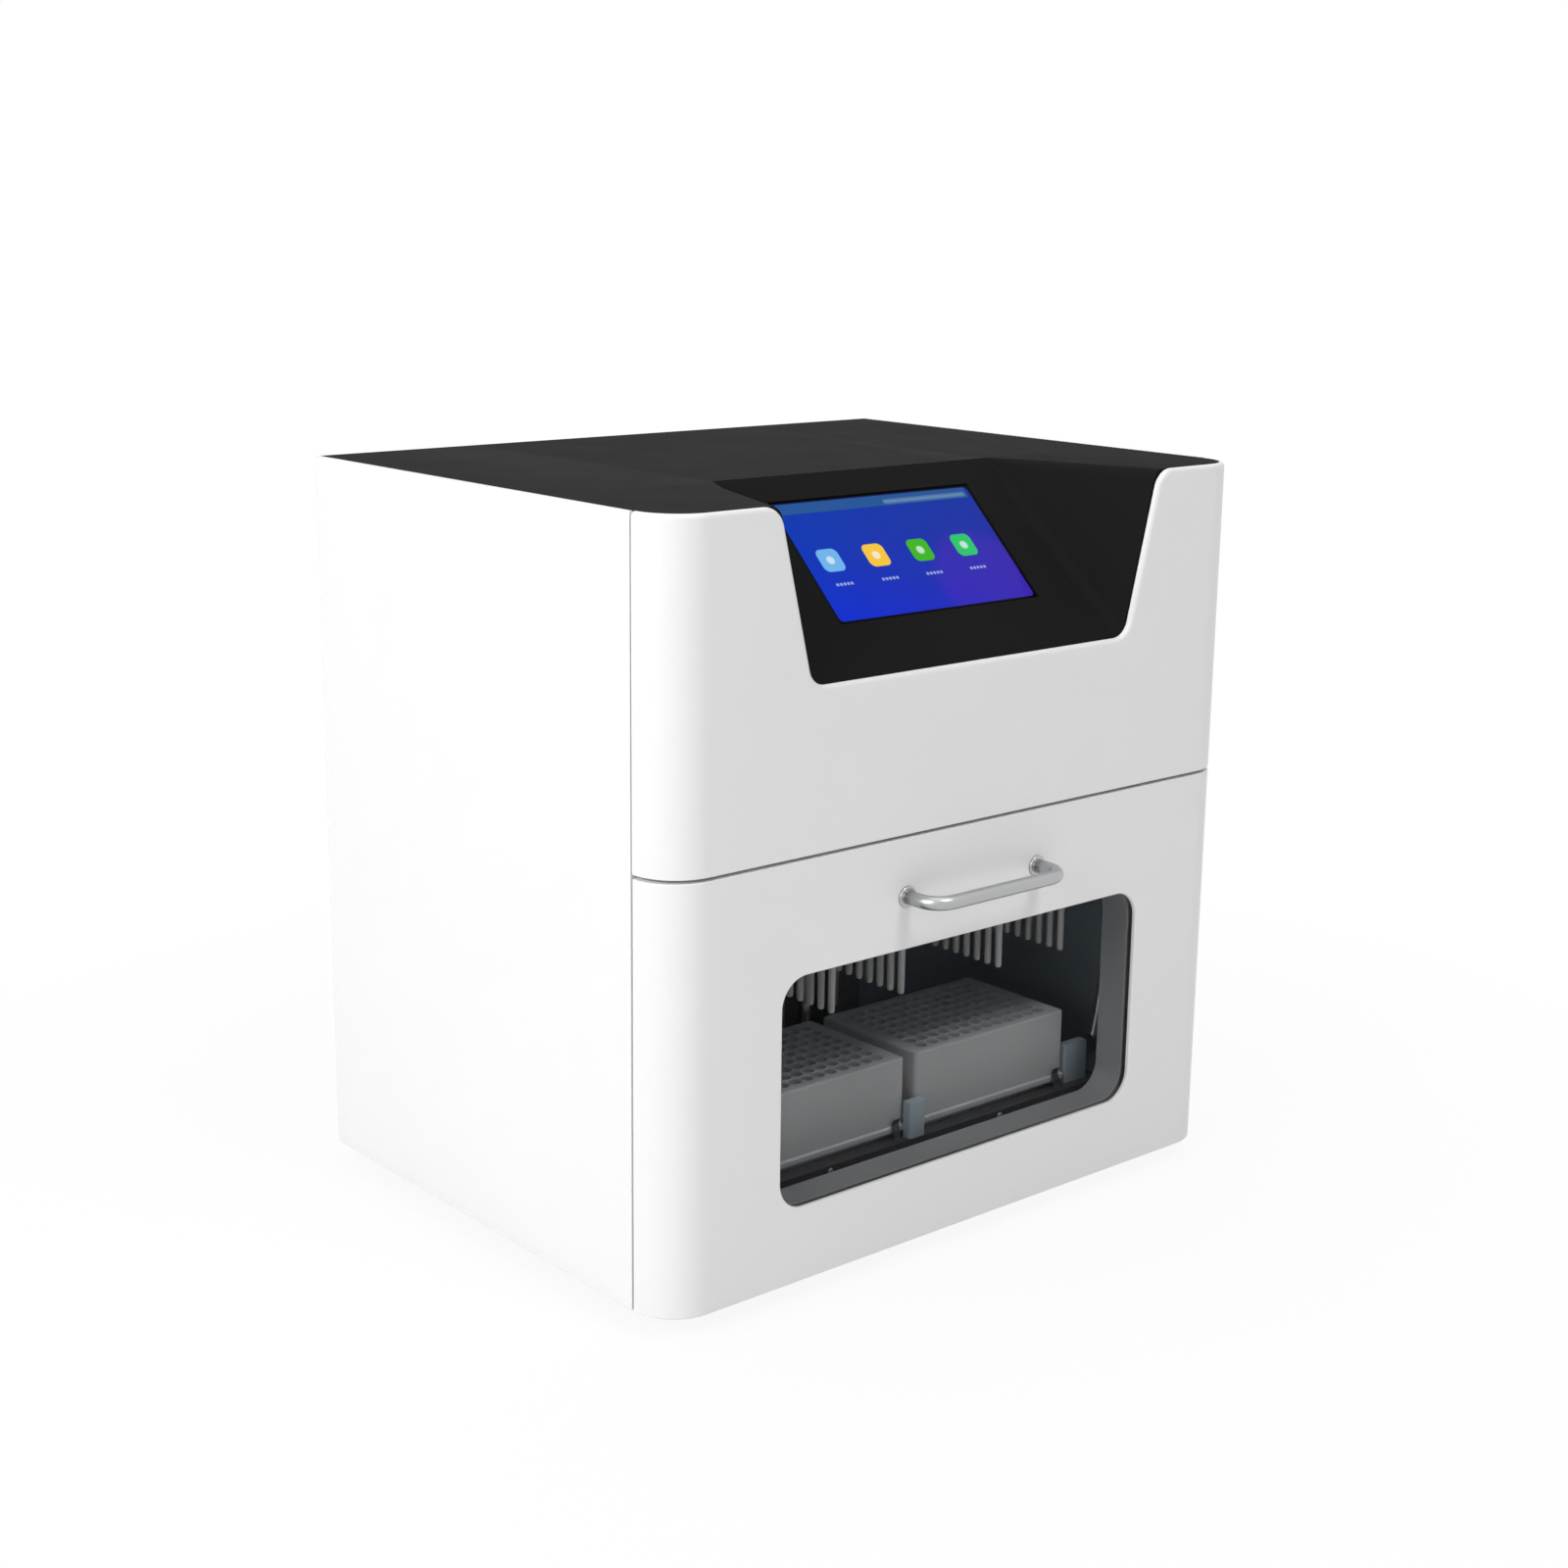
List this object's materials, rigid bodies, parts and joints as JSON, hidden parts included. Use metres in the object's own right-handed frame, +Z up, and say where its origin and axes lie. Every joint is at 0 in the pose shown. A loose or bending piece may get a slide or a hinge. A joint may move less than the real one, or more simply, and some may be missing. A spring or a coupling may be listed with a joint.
{
  "type": "nucleic acid extractor",
  "caption": "Bench-top magnetic bead nucleic acid extractor with a drop-down window door, slanted touch screen, deep-well plates and a lifting sleeve and magnet head.",
  "frame": {"origin": "on the bench under the middle of the object's box", "axes": "+X to the user's right, +Y from the front to the back, +Z up"},
  "size_m": [0.43, 0.36, 0.4345],
  "materials": {
    "white_enamel": "smooth white powder coat",
    "lid_grey": "dark grey moulded lid, fine texture",
    "liner_grey": "light grey paint",
    "blue_grey": "blue-grey paint",
    "dark_steel": "dark grey paint",
    "zinc_steel": "zinc plated sheet and screws",
    "stainless": "polished stainless bar",
    "ground_steel": "ground and hardened rod",
    "aluminium": "anodised, fine milled",
    "plate_plastic": "moulded polypropylene",
    "comb_plastic": "moulded polypropylene",
    "smoke_acrylic": "smoke tinted acrylic",
    "screen_glass": "cover glass over a lit display",
    "rubber": "moulded rubber",
    "lamp_glass": "quartz tube",
    "lamp_white": "diffuser",
    "black_plastic": "black nylon",
    "board_green": "solder resist",
    "bronze": "sintered bronze"
  },
  "bodies": {
    "cabinet": {"base_tray": "zinc_steel", "side_panel_left": "white_enamel", "side_panel_right": "white_enamel", "rear_panel": "white_enamel", "top_lid": "lid_grey", "upper_front_shell": "white_enamel", "display_module": "black_plastic", "touchscreen_glass": "screen_glass", "front_frame": "dark_steel", "door_gasket": "rubber", "chamber_tub": "blue_grey", "chamber_back_panel": "blue_grey", "head_rails": "ground_steel", "drive_supports": "aluminium", "drive_motor": "black_plastic", "deck_plate": "dark_steel", "heater_blocks": "aluminium", "plate_clamps": "blue_grey", "deep_well_plate_left": "plate_plastic", "deep_well_plate_right": "plate_plastic", "uv_lamp": "lamp_glass", "led_light_bar": "lamp_white", "stay_brackets": "zinc_steel", "hinge_brackets": "zinc_steel", "catch_magnets": "ground_steel", "power_supply": "zinc_steel", "control_board": "board_green", "fan_frame": "black_plastic", "power_inlet": "black_plastic", "usb_port": "stainless", "rubber_feet": "rubber"},
    "door": {"door_shell": "white_enamel", "door_liner": "liner_grey", "window_pane": "smoke_acrylic", "door_handle": "stainless", "hinge_knuckles": "zinc_steel", "catch_plates": "zinc_steel", "stay_studs": "zinc_steel"},
    "stay_tube_left": {"stay_tube_left": "stainless"},
    "stay_tube_right": {"stay_tube_right": "stainless"},
    "stay_rod_left": {"stay_rod_left": "ground_steel"},
    "stay_rod_right": {"stay_rod_right": "ground_steel"},
    "head_carriage": {"carriage_plate": "dark_steel", "guide_shafts": "ground_steel", "carriage_bearings": "zinc_steel", "lift_motor": "black_plastic"},
    "sleeve_head": {"sleeve_rack": "aluminium", "sleeve_bushings": "bronze", "tip_combs": "comb_plastic", "magnet_motor": "black_plastic"},
    "magnet_head": {"magnet_rack": "aluminium", "magnet_bushings": "bronze", "magnet_rods": "ground_steel"},
    "drive_screw": {"drive_lead_screw": "ground_steel"},
    "lift_screw": {"lift_lead_screw": "ground_steel"},
    "magnet_screw": {"magnet_lead_screw": "ground_steel"},
    "fan_rotor": {"fan_rotor": "black_plastic"},
    "power_rocker": {"power_rocker": "black_plastic"}
  },
  "joints": [
    {"name": "door_hinge", "type": "hinge", "parent": "cabinet", "child": "door", "pos_m": [0, -0.1445, 0.0165], "axis": [1, 0, 0], "range_deg": [0, 80]},
    {"name": "head_travel", "type": "slide", "parent": "cabinet", "child": "head_carriage", "axis": [1, 0, 0], "range_m": [-0.063, 0]},
    {"name": "sleeve_lift", "type": "slide", "parent": "head_carriage", "child": "sleeve_head", "axis": [0, 0, 1], "range_m": [-0.073, 0]},
    {"name": "magnet_lift", "type": "slide", "parent": "sleeve_head", "child": "magnet_head", "axis": [0, 0, 1], "range_m": [-0.065, 0]},
    {"name": "fan_spin", "type": "hinge", "parent": "cabinet", "child": "fan_rotor", "pos_m": [0.11, 0.162, 0.302], "axis": [0, 1, 0], "continuous": true},
    {"name": "power_rock", "type": "hinge", "parent": "cabinet", "child": "power_rocker", "pos_m": [-0.126, 0.1745, 0.092], "axis": [1, 0, 0], "range_deg": [0, 14]},
    {"name": "drive_spin", "type": "hinge", "parent": "cabinet", "child": "drive_screw", "pos_m": [0, 0.015, 0.267], "axis": [1, 0, 0], "range_deg": [0, 2840]},
    {"name": "lift_spin", "type": "hinge", "parent": "head_carriage", "child": "lift_screw", "pos_m": [0, -0.013, 0.212], "axis": [0, 0, 1], "range_deg": [0, 3290]},
    {"name": "magnet_spin", "type": "hinge", "parent": "sleeve_head", "child": "magnet_screw", "pos_m": [0.0405, -0.06526, 0.242], "axis": [0, 0, 1], "range_deg": [0, 2930]},
    {"name": "stay_turn_left", "type": "hinge", "parent": "cabinet", "child": "stay_tube_left", "pos_m": [-0.17, -0.096, 0.067], "axis": [1, 0, 0], "range_deg": [0, 79]},
    {"name": "stay_extend_left", "type": "slide", "parent": "stay_tube_left", "child": "stay_rod_left", "axis": [0, -0.1574, 0.9875], "range_m": [0, 0.08999]},
    {"name": "stay_turn_right", "type": "hinge", "parent": "cabinet", "child": "stay_tube_right", "pos_m": [0.17, -0.096, 0.067], "axis": [1, 0, 0], "range_deg": [0, 79]},
    {"name": "stay_extend_right", "type": "slide", "parent": "stay_tube_right", "child": "stay_rod_right", "axis": [0, -0.1574, 0.9875], "range_m": [0, 0.08999]}
  ],
  "couplings": [
    {"joint": "drive_spin", "follows": "head_travel", "rad_per_m": -785.4},
    {"joint": "lift_spin", "follows": "sleeve_lift", "rad_per_m": -785.4},
    {"joint": "magnet_spin", "follows": "magnet_lift", "rad_per_m": -785.4},
    {"joint": "stay_turn_left", "follows": "door_hinge", "ratio": 0.98706},
    {"joint": "stay_extend_left", "follows": "door_hinge", "m_per_rad": 0.064414},
    {"joint": "stay_turn_right", "follows": "door_hinge", "ratio": 0.98706},
    {"joint": "stay_extend_right", "follows": "door_hinge", "m_per_rad": 0.064414}
  ]
}
